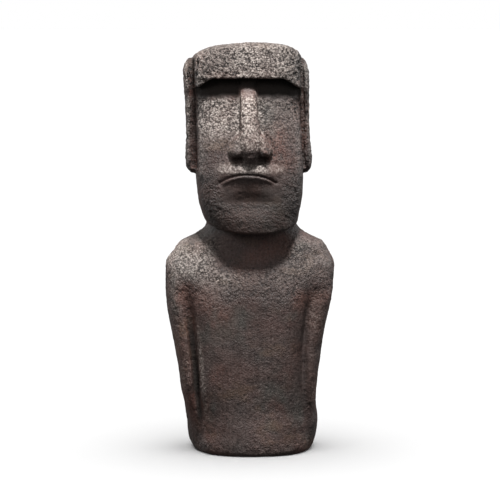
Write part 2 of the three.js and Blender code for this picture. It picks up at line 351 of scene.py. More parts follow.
# Each lamp: name, place in metres, width in metres and power in watts.
LAMPS = [
    ("key", (0.08, -0.82, 2.66), 0.34, 142.0),
    ("left_fill", (-1.8, -1.2, 1.4), 1.0, 14.0),
    ("front_fill", (0.6, -2.8, 0.9), 1.4, 4.0),
    ("right_fill", (1.9, -1.2, 1.3), 1.0, 6.0),
    ("left_rim", (-1.5, 0.9, 0.9), 0.9, 9.0),
    ("right_rim", (1.5, 0.9, 0.9), 0.9, 9.0),
]
LAMP_TARGET = (0.0, 0.0, 0.33)
FLOOR_LIGHT = 3.6  # watts on a square metre, enough to bring the floor near white
FLOOR_RADIUS = 60.0  # metres


# ---------------- fields
def curve_through(heights, rows):
    """Columns of rows at the given heights, on curves that never overshoot the rows."""
    rows = np.array(rows, float)
    z, values = rows[:, 0], rows[:, 1:]
    span = np.diff(z)[:, None]
    rise = np.diff(values, axis=0) / span
    slope = np.zeros_like(values)
    slope[0], slope[-1] = rise[0], rise[-1]
    product = rise[:-1] * rise[1:]
    total = np.where(product > 0, rise[:-1] + rise[1:], 1.0)
    slope[1:-1] = np.where(product > 0, 2 * product / total, 0.0)
    level = np.clip(heights, z[0], z[-1])
    i = np.clip(np.searchsorted(z, level, side="right") - 1, 0, len(z) - 2)
    t = ((level - z[i]) / span[i, 0])[:, None]
    rest = values[i + 1] - values[i]
    start, end = slope[i] * span[i], slope[i + 1] * span[i]
    bend = t**2 * (3 * rest - 2 * start - end) + t**3 * (start + end - 2 * rest)
    return (values[i] + t * start + bend).T


def smooth_union(a, b, radius):
    """The union of two distance fields with a fillet of about that radius."""
    share = np.clip(0.5 + 0.5 * (b - a) / radius, 0, 1)
    return b + (a - b) * share - radius * share * (1 - share)


def smooth_cut(a, b, radius):
    """Field a with field b cut out of it."""
    return -smooth_union(-a, b, radius)


def smooth_step(value, low, high):
    """0 at or below low, 1 at or above high, and a smooth ramp between."""
    t = np.clip((value - low) / (high - low), 0, 1)
    return t * t * (3 - 2 * t)


def fade(value, low, high):
    """1 at or below low, 0 at or above high, and a smooth ramp between."""
    return 1 - smooth_step(value, low, high)


def band(value, low, low_full, high_full, high):
    """1 between the two full values, falling smoothly to 0 at low and at high."""
    return smooth_step(value, low, low_full) * fade(value, high_full, high)


class Grid:
    """A regular grid of points. Its x, y and z broadcast against each other."""

    def __init__(self, axes):
        self.axes = axes
        self.x = axes[0][:, None, None]
        self.y = axes[1][None, :, None]
        self.z = axes[2][None, None, :]

    def part(self, low, high):
        """The grid between two corners, and the slices that pick it out of the whole."""
        picks = tuple(
            slice(*np.searchsorted(axis, (lo, hi)))
            for axis, lo, hi in zip(self.axes, low, high)
        )
        return Grid([axis[pick] for axis, pick in zip(self.axes, picks)]), picks


def lofted(grid, rows, square, centre_x=0.0, inset=0.0):
    """Distance to a column of rounded rectangles, closed flat at its first and last rows.

    The squareness is one number, or a number for each height of the grid.
    """
    heights = grid.axes[2]
    half_x, front, back = (column - inset for column in curve_through(heights, rows))
    middle_y = (back - front) / 2
    half_y = (back + front) / 2
    across = np.abs(grid.axes[0][:, None] - centre_x) / half_x
    along = np.abs(grid.axes[1][:, None] - middle_y) / half_y
    total = (across**square)[:, None, :] + (along**square)[None, :, :]
    total = np.maximum(total, 1e-6)  # keeps the middle of a section off a division by zero
    slope = np.sqrt(
        ((across ** (square - 1)) / half_x)[:, None, :] ** 2
        + ((along ** (square - 1)) / half_y)[None, :, :] ** 2
    )
    size = total ** (1 / square)
    distance = (size - 1) * size ** (square - 1) / np.maximum(slope, TINY)
    deepest = -np.minimum(half_x, half_y)[None, None, :]
    distance = np.maximum(distance, deepest)
    ends = np.maximum(rows[0][0] - grid.z, grid.z - rows[-1][0])
    return np.maximum(distance, ends)


def limb(grid, rows, side, square=SQUARE_LIMB):
    """Distance to an arm or ear: side is 1 for +X and -1 for -X."""
    outer, half, _, _ = curve_through(grid.axes[2], rows)
    sections = [(z, thick, front, back) for z, _, thick, front, back in rows]
    return lofted(grid, sections, square, centre_x=side * (outer - half))


def ellipsoid(grid, centre, radii):
    """Distance to an ellipsoid, close to true near its skin."""
    unit = [
        (axis - c) / r for axis, c, r in zip((grid.x, grid.y, grid.z), centre, radii)
    ]
    size = np.maximum(np.sqrt(sum(u * u for u in unit)), 1e-3)
    slope = np.sqrt(sum((u / r) ** 2 for u, r in zip(unit, radii)))
    return (size - 1) * size / np.maximum(slope, TINY)


def tube(grid, route, radius):
    """Distance to a round bar along straight steps between points."""
    nearest = np.inf
    for start, end in zip(route[:-1], route[1:]):
        step = [b - a for a, b in zip(start, end)]
        length_squared = sum(s * s for s in step)
        offset = [axis - a for axis, a in zip((grid.x, grid.y, grid.z), start)]
        t = np.clip(sum(o * s for o, s in zip(offset, step)) / length_squared, 0, 1)
        squared = sum((o - s * t) ** 2 for o, s in zip(offset, step))
        nearest = np.minimum(nearest, squared)
    return np.sqrt(nearest) - radius


def slot_field(grid, route, half_width, depth):
    """Distance to an upright slot that follows a route and runs back from it by a depth."""
    z = np.array([point[2] for point in route])[::-1]
    x = np.interp(grid.axes[2], z, np.array([point[0] for point in route])[::-1])
    y = np.interp(grid.axes[2], z, np.array([point[1] for point in route])[::-1])
    across = np.abs(grid.x - x[None, None, :]) - half_width
    back = grid.y - (y + depth)[None, None, :]
    ends = np.maximum(z[0] - grid.z, grid.z - z[-1])
    return np.maximum(np.maximum(across, back), ends)


def change(field, grid, low, high, shape, how, radius):
    """Changes the field between two corners, by a union or a cut with a local shape."""
    part, picks = grid.part(low, high)
    field[picks] = how(field[picks], shape(part), radius)


def mirrored(point, side):
    """A point written for the +X side, on the side asked for."""
    return (side * point[0], *point[1:])


# ---------------- the figure's field
def brow_droop(across):
    """How far the brow's lower edge hangs below its middle, at a distance from the middle."""
    return BROW_EDGE["drop"] * smooth_step(across, BROW_EDGE["from"], BROW_EDGE["to"])


def jaw_edge(across):
    """The height of the jaw's lower edge at a distance from the middle."""
    share = across / JAW_EDGE["half_width"]
    return JAW_EDGE["level"] + JAW_EDGE["rise"] * share ** JAW_EDGE["power"]


def crown_and_brow(grid):
    """The forehead block: a slab with a drooping lower edge, under an arched crown."""
    away = np.abs(grid.x)
    behind = BROW_EDGE["behind"] * fade(-grid.y, 0.0, 20.0)
    edge = BROW_EDGE["level"] - brow_droop(away) - behind
    slab = smooth_cut(lofted(grid, BROW, SQUARE_HEAD), grid.z - edge, 2.5)
    bow = CROWN["bow"] * ((grid.x - CROWN["apex"]) / CROWN["half_width"]) ** 2
    arch = bow + CROWN["fall"] * (away / CROWN["half_width"]) ** 9
    along = np.abs(grid.y - CROWN["middle"]) / CROWN["half_depth"]
    top = CROWN["top"] + CROWN["tilt"] * grid.x - arch - CROWN["depth_fall"] * along**4
    return smooth_cut(slab, top - grid.z, CROWN["round"])


def mouth_route(lift=0.0, forward=0.0, reach=1.0):
    """Points along the mouth's arc, moved up and forward, over part of its width."""
    (middle_z, middle_y), (corner_z, corner_y) = MOUTH["middle"], MOUTH["corner"]
    route = []
    for t in np.linspace(-reach, reach, MOUTH["points"]):
        bow = abs(t) ** MOUTH["power"]
        z = middle_z + (corner_z - middle_z) * bow + lift
        y = middle_y + (corner_y - middle_y) * t * t + forward
        route.append((MOUTH["aside"] + t * MOUTH["half_width"], -y, z))
    return route


def add_face(field, grid):
    """Nose, lips and the dip above the chin, on the head."""
    low, high = (-60, -100, 318), (60, -10, 560)

    def add(shape, radius, how=smooth_union):
        change(field, grid, low, high, shape, how, radius)

    def nose(g):
        square = np.interp(g.axes[2], (434, 460), (SQUARE_NOSE_TIP, SQUARE_NOSE))
        return lofted(g, NOSE, square)

    add(nose, 3.5)
    for side in (-1, 1):
        for centre, radii in NOSTRIL_WINGS:
            add(lambda g: ellipsoid(g, mirrored(centre, side), radii), 4.0)
        crease = [mirrored(point, side) for point in WING_CREASE]
        add(lambda g: tube(g, crease, 2.2), 2.5, smooth_cut)
    add(lambda g: ellipsoid(g, *LIPS), 9.0)
    add(lambda g: ellipsoid(g, *UNDER_LIP), 7.0, smooth_cut)
    lower_lip = mouth_route(lift=-2.6, forward=-0.9, reach=0.84)
    add(lambda g: tube(g, lower_lip, 2.1), 3.0)
    for forward in (-1.2, 0.4, 2.0):  # together they open the mouth's groove to the front
        add(lambda g: tube(g, mouth_route(0.2, forward), 1.4), 0.6, smooth_cut)
    for side in (-1, 1):
        centre, radii = NOSTRIL
        add(lambda g: ellipsoid(g, mirrored(centre, side), radii), 2.5, smooth_cut)


def add_ears(field, grid):
    """Long slab ears on the head, with a slot in front of each and a hollow down its side."""
    for side, half_width in EAR_SLOT_HALF_WIDTHS.items():
        low, high = sorted((side * 60, side * 100))
        corners = (low, -45, 395), (high, 45, 578)
        slot = [mirrored(point, side) for point in EAR_SLOT]
        hollow = [mirrored(point, side) for point in EAR_HOLLOW]

        def add(shape, how, radius):
            change(field, grid, *corners, shape, how, radius)

        add(lambda g: limb(g, EAR, side), smooth_union, 2.5)
        add(lambda g: slot_field(g, slot, half_width, EAR_SLOT_DEPTH), smooth_cut, 2.0)
        add(lambda g: tube(g, hollow, EAR_HOLLOW_RADIUS), smooth_cut, 4.0)


def add_arms(field, grid):
    """Arms along the sides, part of the shoulders above and grooved from the torso below."""
    shoulder = smooth_step(grid.z, 205.0, 262.0) * (1 - 0.7 * smooth_step(grid.z, 268.0, 296.0))
    melt = 4.0 + 22.0 * shoulder + 6.0 * fade(grid.z, 50.0, 90.0)
    for side in (-1, 1):
        field = smooth_union(field, limb(grid, ARM, side), melt)
    for side, (points, radius) in ARM_GROOVES.items():
        route = [mirrored(point, side) for point in points]
        low, high = sorted((side * 55, side * 118))
        corners = (low, -75, 24), (high, -20, 262)
        change(field, grid, *corners, lambda g: tube(g, route, radius), smooth_cut, 5.0)
    return field


def figure_field(grid):
    """The outside of the figure, without its cast texture."""
    square = np.interp(grid.axes[2], (30, 100), (SQUARE_BASE, SQUARE_BODY))
    field = lofted(grid, TORSO, square)
    field = smooth_union(field, lofted(grid, PLINTH, square), 9.0)
    field = add_arms(field, grid)
    field = smooth_union(field, lofted(grid, NECK, SQUARE_NECK), 10.0)
    over_jaw = grid.z - jaw_edge(np.abs(grid.x))
    square = np.interp(grid.axes[2], (330, 400), (SQUARE_CHIN, SQUARE_HEAD))
    head = smooth_cut(lofted(grid, HEAD, square), over_jaw, 3.0)
    head = smooth_union(head, crown_and_brow(grid), 2.5)
    field = smooth_union(field, head, 3.0)
    add_face(field, grid)
    add_ears(field, grid)
    return np.maximum(field, RIM - grid.z)


def hollow_field(grid):
    """The space inside the shells."""
    parts = (
        (HOLLOW_FOOT, SQUARE_BODY),
        (HOLLOW_TORSO, SQUARE_BODY),
        (HOLLOW_ARM, SQUARE_NECK),
        (HOLLOW_NECK, SQUARE_NECK),
        (HOLLOW_HEAD, SQUARE_HEAD),
    )
    return np.minimum.reduce([lofted(grid, *part, inset=WALL) for part in parts])


# ---------------- meshes
def surface_net(values, axes):
    """Points and quads on the zero level: one point in each cell that the surface crosses."""
    inside = values < 0
    count = np.zeros([size - 1 for size in inside.shape], np.uint8)
    for corner in np.ndindex(2, 2, 2):
        count += inside[tuple(slice(c, c - 1 or None) for c in corner)]
    crossed = (count > 0) & (count < 8)
    number = np.full(crossed.shape, -1, np.int64)
    number[crossed] = np.arange(crossed.sum())
    cells = np.argwhere(crossed)
    total = np.zeros((len(cells), 3))
    crossings = np.zeros(len(cells))
    quads = []
    for axis in range(3):
        u, v = (axis + 1) % 3, (axis + 2) % 3
        for du in (0, 1):
            for dv in (0, 1):
                start = cells.copy()
                start[:, u] += du
                start[:, v] += dv
                end = start.copy()
                end[:, axis] += 1
                a, b = values[tuple(start.T)], values[tuple(end.T)]
                hit = (a < 0) != (b < 0)
                point = start[hit].astype(float)
                point[:, axis] += a[hit] / (a[hit] - b[hit])
                total[hit] += point
                crossings[hit] += 1
        lower = np.take(inside, range(inside.shape[axis] - 1), axis)
        upper = np.take(inside, range(1, inside.shape[axis]), axis)
        edges = np.argwhere(lower != upper)
        outward = lower[tuple(edges.T)]
        around = []
        for du, dv in ((-1, -1), (0, -1), (0, 0), (-1, 0)):
            cell = edges.copy()
            cell[:, u] += du
            cell[:, v] += dv
            around.append(number[tuple(cell.T)])
        quad = np.stack(around, 1)
        quads.append(np.where(outward[:, None], quad, quad[:, ::-1]))
    steps = np.array([axis[1] - axis[0] for axis in axes])
    starts = np.array([axis[0] for axis in axes])
    return starts + total / crossings[:, None] * steps, np.concatenate(quads)


def mesh_of(name, points, faces):
    """A Blender mesh from points in metres and faces that all have as many corners."""
    mesh = bpy.data.meshes.new(name)
    mesh.vertices.add(len(points))
    mesh.vertices.foreach_set("co", np.asarray(points, np.float32).ravel())
    mesh.loops.add(faces.size)
    mesh.loops.foreach_set("vertex_index", faces.astype(np.int32).ravel())
    mesh.polygons.add(len(faces))
    mesh.polygons.foreach_set("loop_start", np.arange(len(faces), dtype=np.int32) * faces.shape[1])
    mesh.update(calc_edges=True)
    mesh.validate()
    return mesh


def mesh_from(form, name):
    """The mesh that a bmesh form makes."""
    mesh = bpy.data.meshes.new(name)
    form.to_mesh(mesh)
    form.free()
    return mesh


def place(name, data):
    """A new object in the scene for a mesh, lamp or camera."""
    piece = bpy.data.objects.new(name, data)
    bpy.context.scene.collection.objects.link(piece)
    return piece


def cover(piece, material):
    """Gives a piece one material all over."""
    piece.data.materials.clear()
    piece.data.materials.append(material)


def read(data, name, width):
    """A mesh's values of one kind as rows of a numpy array."""
    values = np.zeros(len(data) * width, np.float32)
    data.foreach_get(name, values)
    return values.reshape(-1, width).astype(float)


# ---------------- cast texture
lattice = np.random.default_rng(SEED).random((LATTICE, LATTICE, LATTICE))
cell_random = np.random.default_rng(SEED + 1).random((LATTICE, LATTICE, LATTICE, 4))


def noise(points, size, shift=0.0):
    """Smooth noise from -1 to 1, in lumps of about a size. Each shift gives another pattern."""
    scaled = points / np.asarray(size, float) + shift
    whole = np.floor(scaled).astype(int)
    part = scaled - whole
    ease = part * part * (3 - 2 * part)
    result = 0.0
    for corner in np.ndindex(2, 2, 2):
        index = (whole + corner) % LATTICE
        weight = np.prod(np.where(np.array(corner) > 0, ease, 1 - ease), axis=1)
        result = result + weight * lattice[tuple(index.T)]
    return result * 2 - 1


def fractal(points, size, octaves, shift=0.0):
    """Noise with finer and weaker noise on top."""
    result, strength = 0.0, 1.0
    for octave in range(octaves):
        result = result + strength * noise(points, size / 2**octave, shift + 7.3 * octave)
        strength *= 0.55
    return result


def cells(points, size, share, shift=0):
    """Round marks scattered in space: 1 at a mark's middle, falling to 0 at its edge."""
    scaled = points / size
    whole = np.floor(scaled).astype(int)
    mark = np.zeros(len(points))
    for corner in np.ndindex(3, 3, 3):
        cell = whole + np.array(corner) - 1
        random = cell_random[tuple(((cell + shift) % LATTICE).T)]
        reach = 0.28 + 0.42 * random[:, 3]
        distance = np.linalg.norm(scaled - cell - random[:, :3], axis=1)
        chosen = (random[:, 3] * 7.31) % 1.0 < share
        mark = np.maximum(mark, np.where(chosen, 1 - distance / reach, 0.0))
    return np.clip(mark, 0, 1)


def zones(points, normals):
    """How crumbly, rusty, pale and dark the cast is at each point, from 0 to 1. The pale is
    dry-brushing mixed with painted light, and the dark is painted shade.
    """
    x, y, z = points.T
    across = np.abs(x)
    # Painted light: the left side is lit more, so its cheeks and shoulders get more pale.
    left = smooth_step(-x, -30, 40)
    front = smooth_step(-normals[:, 1], 0.1, 0.5)
    strayed = z + 12.0 * noise(points, 27.0, 41.0)
    over_brow = z - BROW_EDGE["level"] + brow_droop(across)
    over_jaw = z - jaw_edge(across)

    # Parts of the head.
    forehead = front * smooth_step(over_brow, -5, 3) + (1 - front) * smooth_step(strayed, 500, 575)
    cheeks = band(z, 428, 480, 506, 522) * front
    chin = fade(np.abs(z - 344), 12, 34) * front
    jaw = band(z, 312, 326, 372, 425) * front
    # A painted highlight along the jaw's lower edge.
    jaw_rim_highlight = np.exp(-(((over_jaw - 3.0) / 3.5) ** 2)) * front
    lower_face = band(z, 318, 345, 470, 500) * front
    sides = smooth_step(np.abs(normals[:, 0]), 0.5, 0.8) * smooth_step(strayed, 385, 425)
    lips = fade(np.abs(z - 404), 12, 22) * fade(across, 38, 56) * front
    under_lip = fade(np.abs(z - 377), 9, 19) * fade(across, 36, 52) * front
    nose = fade(across, 16, 26) * band(z, 436, 446, 508, 527) * front
    bridge = fade(across, 11, 15)
    # The eye sockets under the brow, which get painted shade.
    socket = (1 - bridge) * smooth_step(z, 508, 519) + bridge * smooth_step(z, 516, 531)
    socket = socket * (over_brow < 0) * (across < 77) * smooth_step(-normals[:, 1], -0.1, 0.2)
    ear_slot = band(across, 70, 75, 81, 85) * smooth_step(z, 400, 412)

    # Parts of the body.
    under_chin = band(z, 258, 272, 318, 330) * fade(across, 38, 60)
    shoulders = band(strayed, 190, 255, 304, 324)
    # Lower down the middle of the chest, which gets less pale there and, lower down, painted shade.
    off_middle = 1 - 0.55 * fade(across, 12, 62) * fade(z, 236, 290) * front
    arms = smooth_step(across, 78, 90) * band(z, 50, 75, 225, 262)
    foot = fade(z, 8, 40)
    groove_x, _, groove_z = np.array(ARM_GROOVES[-1][0][::-1], float).T
    inward = np.interp(z, groove_z, groove_x) + x
    along_groove = band(z, 35, 60, 180, 225) * (y < 0)
    arm_groove = fade(np.abs(inward), 2.0, 6.0) * along_groove
    # A painted highlight strip on the torso, beside the left arm's groove.
    torso_edge_highlight = np.exp(-(((inward - 9.5) / 4.0) ** 2)) * along_groove

    crumble = np.maximum.reduce([
        np.full_like(z, 0.19),
        forehead,
        0.85 * cheeks,
        0.42 * chin,
        0.58 * lower_face,
        0.62 * shoulders,
        0.80 * sides,
        0.34 * foot,
        0.30 * arms,
    ])
    calm = np.maximum.reduce([
        0.7 * lips,
        0.25 * nose,
        0.9 * under_lip,
        0.8 * socket,
        0.5 * under_chin,
    ])
    crumble = crumble * (1 - calm) * (0.85 + 0.35 * fractal(points, 34.0, 2, 3.0))

    # Pale dry-brushing mixed with painted light: paler on the forehead, nose, upper lip and the
    # head's sides, more on the left, and on the shoulders where they face up.
    drybrush_and_light = np.maximum.reduce([
        np.full_like(z, 0.08),
        0.70 * forehead,
        (0.50 + 0.47 * left) * cheeks,
        nose,
        0.13 * foot,
        0.72 * lips * smooth_step(z, 404, 410),
        (0.30 + 0.38 * left) * shoulders * off_middle * smooth_step(normals[:, 2], -0.25, 0.35),
        0.50 * torso_edge_highlight,
        0.34 * jaw_rim_highlight,
        0.45 * sides,
        0.22 * arms,
    ])
    # Painted shade: no pale where shade falls, in the eye sockets, under the lip and chin, and in
    # the ear slots and arm grooves.
    for dark in (0.9 * under_lip, socket, 0.6 * ear_slot, 0.8 * under_chin, arm_groove):
        drybrush_and_light = drybrush_and_light * (1 - dark)
    drybrush_and_light = drybrush_and_light * (0.9 + 0.35 * fractal(points, 40.0, 2, 31.0))

    # Painted shade, near black: in the eye sockets, under the lip, in the ear slots and arm
    # grooves, on the jaw and chin, and down the middle of the chest.
    painted_shade = np.maximum.reduce([
        socket,
        0.6 * under_lip,
        0.5 * ear_slot,
        0.85 * arm_groove,
        0.45 * jaw + 0.24 * chin,
        0.48 * (1 - off_middle) * smooth_step(z, 150, 215),
    ])
    rust = np.maximum(0.95 * ear_slot, 0.45 * arms)
    rust = rust + 0.7 * smooth_step(noise(points, 38.0, 17.0), 0.0, 0.6)
    shares = {"crumble": crumble, "drybrush_and_light": drybrush_and_light, "rust": rust, "painted_shade": painted_shade}
    return {name: np.clip(share, 0, 1) for name, share in shares.items()}


def relief(points, normals, crumble):
    """The cast's whole height and its fine height at each point, in millimetres."""
    z = points[:, 2]
    lumps = 0.65 * noise(points, 46.0) + 0.45 * noise(points, 17.0, 5.0)
    brow_edge = np.exp(-(((z - BROW_EDGE["level"]) / 6.0) ** 2))
    brow_edge = brow_edge * smooth_step(-normals[:, 1], 0.0, 0.4)
    lumps = lumps + 0.9 * brow_edge * fractal(points, 9.0, 2, 13.0)
    crumbs = 1 - 2.2 * np.abs(fractal(points, 7.0, 2, 11.0))
    grains = fractal(points, 4.4, 2, 23.0)
    pits = smooth_step(cells(points, 4.6, 0.30), 0.0, 0.8)
    few_pits = smooth_step(cells(points, 6.4, 0.10, shift=17), 0.1, 0.7)
    fine = crumble * (0.75 * crumbs + 0.75 * grains - 0.9 * pits) - 0.55 * few_pits
    fine = fine + (1 - crumble) * 0.14 * grains
    return lumps + fine, fine


# ---------------- the casting
def bent(points, foot_too=True):
    """Points shifted sideways by the casting's bends, which may leave the foot alone."""
    body = np.interp(points[:, 2], *np.array(BEND_BODY, float).T)
    head = np.interp(points[:, 2], *np.array(BEND_HEAD, float).T)
    if not foot_too:
        body = body * smooth_step(points[:, 2], 30.0, 70.0)
    moved = points.copy()
    moved[:, 0] += body + head
    return moved


def combine(piece, other, operation):
    """Applies a boolean of one mesh object with another to the first."""
    modifier = piece.modifiers.new("combine", "BOOLEAN")
    modifier.object = other
    modifier.operation = operation
    modifier.solver = "MANIFOLD"
    graph = bpy.context.evaluated_depsgraph_get()
    made = bpy.data.meshes.new_from_object(piece.evaluated_get(graph))
    piece.modifiers.clear()
    piece.data = made


def slab(name, low, high):
    """A plain box between two corners in metres, used only for cutting."""
    form = bmesh.new()
    bmesh.ops.create_cube(form, size=1.0)
    for vertex in form.verts:
        vertex.co = [lo + (c + 0.5) * (hi - lo) for c, lo, hi in zip(vertex.co, low, high)]
    return place(name, mesh_from(form, name))


def copy_values(piece, tree, values):
    """Gives each point of a mesh the named values of the nearest sculpted point."""
    points = read(piece.data.vertices, "co", 3)
    nearest = np.array([tree.find(point)[1] for point in points])
    for name, column in values.items():
        attribute = piece.data.attributes.new(name, "FLOAT", "POINT")
        attribute.data.foreach_set("value", column[nearest].astype(np.float32))


def make_castings():
    """The front and back of the casting, hollow, cut from one textured sculpture."""
    low, high = (np.array(corner) / MM for corner in cad_box)
    axes = [np.arange(lo - MARGIN, hi + MARGIN, CELL) for lo, hi in zip(low, high)]
    grid = Grid(axes)
    points, faces = surface_net(figure_field(grid), axes)
    outside = mesh_of("casting", points * MM, faces)
    normals = read(outside.vertices, "normal", 3)
    values = zones(points, normals)
    height, values["relief"] = relief(points, normals, values["crumble"])
    settled = smooth_step(points[:, 2], RIM + 0.5, RIM + 6.0)  # the rim stays flat
    skin = bent(points + normals * (height * settled)[:, None]) * MM
    outside.vertices.foreach_set("co", skin.astype(np.float32).ravel())
    outside.update()

    tree = kdtree.KDTree(len(skin))
    for index, point in enumerate(skin):
        tree.insert(point, index)
    tree.balance()

    few = [axis[::HOLLOW_EVERY] for axis in axes]
    inner_points, inner_faces = surface_net(hollow_field(Grid(few)), few)
    inner_points = bent(inner_points, foot_too=False) * MM
    hollow = place("hollow_cut", mesh_of("hollow_cut", inner_points, inner_faces))
    reach = 0.3  # metres, past the figure on every side
    above = 1.0
    seam = SEAM * MM
    gap = SEAM_GAP * MM
    halves = {
        "front": slab("front_cut", (-reach, -reach, -reach), (reach, seam - gap, above)),
        "back": slab("back_cut", (-reach, seam + gap, -reach), (reach, reach, above)),
    }
    made = []
    for half, cutter in halves.items():
        piece = place(f"{half}_casting", outside.copy())
        combine(piece, cutter, "INTERSECT")
        combine(piece, hollow, "DIFFERENCE")
        piece.data.shade_smooth()
        piece.data.set_sharp_from_angle(angle=math.radians(CAST_CREASE))
        copy_values(piece, tree, values)
        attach(piece, "figure")
        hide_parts(f"{half}_shell")
        made.append(piece)
    for cutter in [hollow, *halves.values()]:
        bpy.data.objects.remove(cutter)
    return made


# ---------------- materials
class Tree:
    """A node tree of a material or a world."""

    def __init__(self, owner):
        owner.use_nodes = True
        self.nodes = owner.node_tree.nodes
        self.links = owner.node_tree.links

    def add(self, kind, inputs=None, **settings):
        """A node with its settings, and its inputs linked or set."""
        node = self.nodes.new(kind)
        for name, value in settings.items():
            setattr(node, name, value)
        for name, value in (inputs or {}).items():
            if isinstance(value, bpy.types.NodeSocket):
                self.links.new(value, node.inputs[name])
            else:
                node.inputs[name].default_value = value
        return node


class Look(Tree):
    """A material's node tree, with short ways to add to it."""

    def __init__(self, name):
        self.material = bpy.data.materials.new(name)
        super().__init__(self.material)
        self.shader = self.nodes["Principled BSDF"]
        self.where = self.add("ShaderNodeTexCoord").outputs["Object"]

    def noise(self, scale, detail=3.0, roughness=0.6, vector=None):
        """Noise whose features repeat about scale times in a metre."""
        inputs = {
            "Vector": vector or self.where,
            "Scale": scale,
            "Detail": detail,
            "Roughness": roughness,
        }
        return self.add("ShaderNodeTexNoise", inputs).outputs["Fac"]

    def stretched(self, scale):
        """Object coordinates multiplied along X, Y and Z."""
        inputs = {"Vector": self.where, "Scale": scale}
        return self.add("ShaderNodeMapping", inputs).outputs["Vector"]

    def attribute(self, name):
        """One of the mesh's own values."""
        return self.add("ShaderNodeAttribute", attribute_name=name).outputs["Fac"]

    def math(self, operation, a, b=0.0, clamp=False):
        """One of Blender's operations on two values."""
        return self.add(
            "ShaderNodeMath", {0: a, 1: b}, operation=operation, use_clamp=clamp
        ).outputs["Value"]

    def times(self, a, b, clamp=False):
        """The product of two values."""
        return self.math("MULTIPLY", a, b, clamp)

    def plus(self, a, b):
        """The sum of two values."""
        return self.math("ADD", a, b)

    def ramp(self, value, *stops):
        """A colour that runs through stops of (place, colour) as the value rises."""
        node = self.add("ShaderNodeValToRGB", {"Fac": value})
        elements = node.color_ramp.elements
        for element, (place_on_ramp, _) in zip(elements, (stops[0], stops[-1])):
            element.position = place_on_ramp
        for place_on_ramp, _ in stops[1:-1]:
            elements.new(place_on_ramp)
        for element, (_, colour) in zip(elements, stops):
            element.color = (*colour, 1.0)
        return node.outputs["Color"]

    def level(self, value, low, high):
        """0 where the value is at low, 1 where it is at high, smooth between."""
        node = self.add(
            "ShaderNodeMapRange",
            {"Value": value, "From Min": low, "From Max": high},
            interpolation_type="SMOOTHSTEP",
        )
        return node.outputs["Result"]

    def spread(self, value, low, high):
        """A value from 0 to 1, spread between two others."""
        inputs = {"Value": value, "To Min": low, "To Max": high}
        return self.add("ShaderNodeMapRange", inputs).outputs["Result"]

    def cells(self, scale):
        """Distance to the nearest of points scattered about scale times in a metre."""
        inputs = {"Vector": self.where, "Scale": scale}
        return self.add("ShaderNodeTexVoronoi", inputs).outputs["Distance"]

    def mix(self, share, first, second):
        """Two colours mixed. A node's sockets for colours are its seventh and eighth."""
        node = self.add("ShaderNodeMix", data_type="RGBA")
        for index, value in ((0, share), (6, first), (7, second)):
            socket = node.inputs[index]
            if isinstance(value, bpy.types.NodeSocket):
                self.links.new(value, socket)
            elif isinstance(value, tuple):
                socket.default_value = (*value, 1.0)
            else:
                socket.default_value = value
        return node.outputs[2]

    def bump(self, height, distance, strength=1.0, under=None):
        """A bump of a depth in metres, on top of another bump."""
        inputs = {"Height": height, "Distance": distance, "Strength": strength}
        if under:
            inputs["Normal"] = under
        return self.add("ShaderNodeBump", inputs).outputs["Normal"]

    def finish(self, colour, roughness, normal=None, **fixed):
        """Connects the shader. Values that are the same all over are set on its own sockets."""
        for name, value in (("Base Color", colour), ("Roughness", roughness), ("Normal", normal)):
            if isinstance(value, bpy.types.NodeSocket):
                self.links.new(value, self.shader.inputs[name])
            elif value is not None:
                self.shader.inputs[name].default_value = value
        for name, value in fixed.items():
            self.shader.inputs[name.replace("_", " ")].default_value = value
        return self.material


